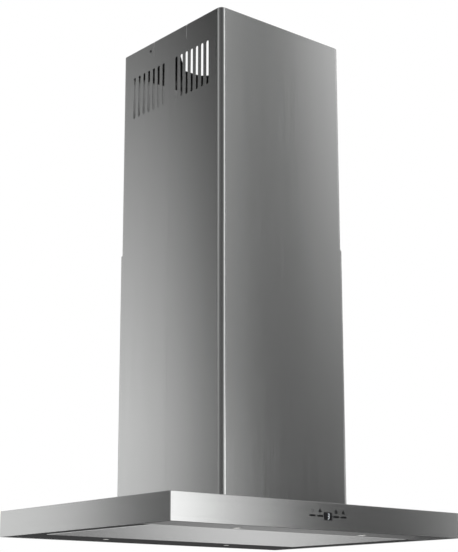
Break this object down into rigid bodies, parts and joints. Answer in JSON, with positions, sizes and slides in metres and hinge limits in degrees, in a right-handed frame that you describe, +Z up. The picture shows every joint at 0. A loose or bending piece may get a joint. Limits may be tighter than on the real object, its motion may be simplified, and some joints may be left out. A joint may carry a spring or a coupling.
{
  "type": "island range hood",
  "caption": "Island range hood: flat rectangular canopy with perimeter suction panel, lamps and front controls, under a square telescopic chimney hung from a ceiling frame.",
  "frame": {"origin": "centre of the ceiling plate's top face, where it meets the ceiling", "axes": "+Z up into the ceiling, -Y towards the control side, +X to the right seen from the control side"},
  "size_m": [0.9, 0.6815, 1.27],
  "materials": {
    "chimney_steel": "fine vertical brushing, satin",
    "canopy_steel": "brushed along each side, satin",
    "border_steel": "brushed, satin, duller at the sides",
    "panel_steel": "brushed across, satin",
    "dark_fastener": "blackened",
    "black_steel": "satin black paint",
    "zinc_steel": "galvanised, faint spangle",
    "fastener_steel": "bright plated",
    "aluminium": "plain mill finish",
    "capacitor_shell": "moulded white",
    "motor_paint": "dark grey paint",
    "black_plastic": "moulded, fine grain",
    "rubber": "matt",
    "board_green": "lacquered board",
    "terminal_plastic": "moulded",
    "display_black": "glossy tinted window",
    "button_dark": "smooth, slightly glossy",
    "lamp_glass": "frosted lens"
  },
  "bodies": {
    "ceiling_mount": {"air_deflector": "zinc_steel", "ceiling_plate": "black_steel", "chimney_fixings": "dark_fastener", "duct_clamp_upper": "fastener_steel", "flexible_duct": "aluminium", "upper_braces": "zinc_steel", "upper_chimney_back": "chimney_steel", "upper_chimney_front": "chimney_steel", "upper_stiffeners": "black_steel", "upper_upright_back_left": "zinc_steel", "upper_upright_back_right": "zinc_steel", "upper_upright_front_left": "zinc_steel", "upper_upright_front_right": "zinc_steel"},
    "hood": {"adjust_bolts": "fastener_steel", "base_frame": "zinc_steel", "blower_scroll_back": "zinc_steel", "blower_scroll_front": "zinc_steel", "blower_supports": "zinc_steel", "cable_gland": "black_plastic", "canopy_shell": "canopy_steel", "capacitor": "capacitor_shell", "chimney_collar": "zinc_steel", "control_board": "board_green", "damper_pin": "fastener_steel", "display_window": "display_black", "duct_clamp_lower": "fastener_steel", "electronics_box": "zinc_steel", "electronics_lid": "zinc_steel", "filter_frame_left": "aluminium", "filter_frame_right": "aluminium", "filter_meshes": "aluminium", "filter_rails": "zinc_steel", "hinge_brackets": "zinc_steel", "lamp_bezels": "border_steel", "lamp_housings": "aluminium", "lamp_lenses": "lamp_glass", "lower_braces": "zinc_steel", "lower_chimney_back": "chimney_steel", "lower_chimney_front": "chimney_steel", "lower_upright_back_left": "zinc_steel", "lower_upright_back_right": "zinc_steel", "lower_upright_front_left": "zinc_steel", "lower_upright_front_right": "zinc_steel", "motor": "motor_paint", "motor_bracket": "zinc_steel", "motor_mounts": "rubber", "outlet_adapter": "zinc_steel", "panel_magnets": "black_plastic", "terminal_block": "terminal_plastic", "underside_frame": "border_steel"},
    "perimeter_panel": {"perimeter_panel": "panel_steel"},
    "impeller": {"impeller": "black_plastic"},
    "damper_flap_left": {"damper_flap_left": "aluminium"},
    "damper_flap_right": {"damper_flap_right": "aluminium"},
    "filter_latch_left": {"filter_latch_left": "black_plastic"},
    "filter_latch_right": {"filter_latch_right": "black_plastic"},
    "button_fan_down": {"button_fan_down": "button_dark"},
    "button_fan_up": {"button_fan_up": "button_dark"},
    "button_lamp": {"button_lamp": "button_dark"},
    "button_timer": {"button_timer": "button_dark"}
  },
  "joints": [
    {"name": "height_adjust", "type": "slide", "parent": "ceiling_mount", "child": "hood", "axis": [0, 0, 1], "range_m": [0, 0.3], "deforming": ["flexible_duct"]},
    {"name": "panel_hinge", "type": "hinge", "parent": "hood", "child": "perimeter_panel", "pos_m": [0, 0.2055, -1.264], "axis": [1, 0, 0], "range_deg": [0, 85]},
    {"name": "impeller_spin", "type": "hinge", "parent": "hood", "child": "impeller", "pos_m": [-0.074, 0, -1.075], "axis": [0, 1, 0], "continuous": true},
    {"name": "damper_left", "type": "hinge", "parent": "hood", "child": "damper_flap_left", "pos_m": [0, 0, -0.88], "axis": [0, 1, 0], "range_deg": [0, 75]},
    {"name": "damper_right", "type": "hinge", "parent": "hood", "child": "damper_flap_right", "pos_m": [0, 0, -0.88], "axis": [0, -1, 0], "range_deg": [0, 75]},
    {"name": "latch_left", "type": "slide", "parent": "hood", "child": "filter_latch_left", "axis": [0, 1, 0], "range_m": [0, 0.006], "stiffness_N_per_m": 300},
    {"name": "latch_right", "type": "slide", "parent": "hood", "child": "filter_latch_right", "axis": [0, 1, 0], "range_m": [0, 0.006], "stiffness_N_per_m": 300},
    {"name": "press_fan_down", "type": "slide", "parent": "hood", "child": "button_fan_down", "axis": [0, 1, 0], "range_m": [0, 0.001], "stiffness_N_per_m": 800},
    {"name": "press_fan_up", "type": "slide", "parent": "hood", "child": "button_fan_up", "axis": [0, 1, 0], "range_m": [0, 0.001], "stiffness_N_per_m": 800},
    {"name": "press_lamp", "type": "slide", "parent": "hood", "child": "button_lamp", "axis": [0, 1, 0], "range_m": [0, 0.001], "stiffness_N_per_m": 800},
    {"name": "press_timer", "type": "slide", "parent": "hood", "child": "button_timer", "axis": [0, 1, 0], "range_m": [0, 0.001], "stiffness_N_per_m": 800}
  ]
}
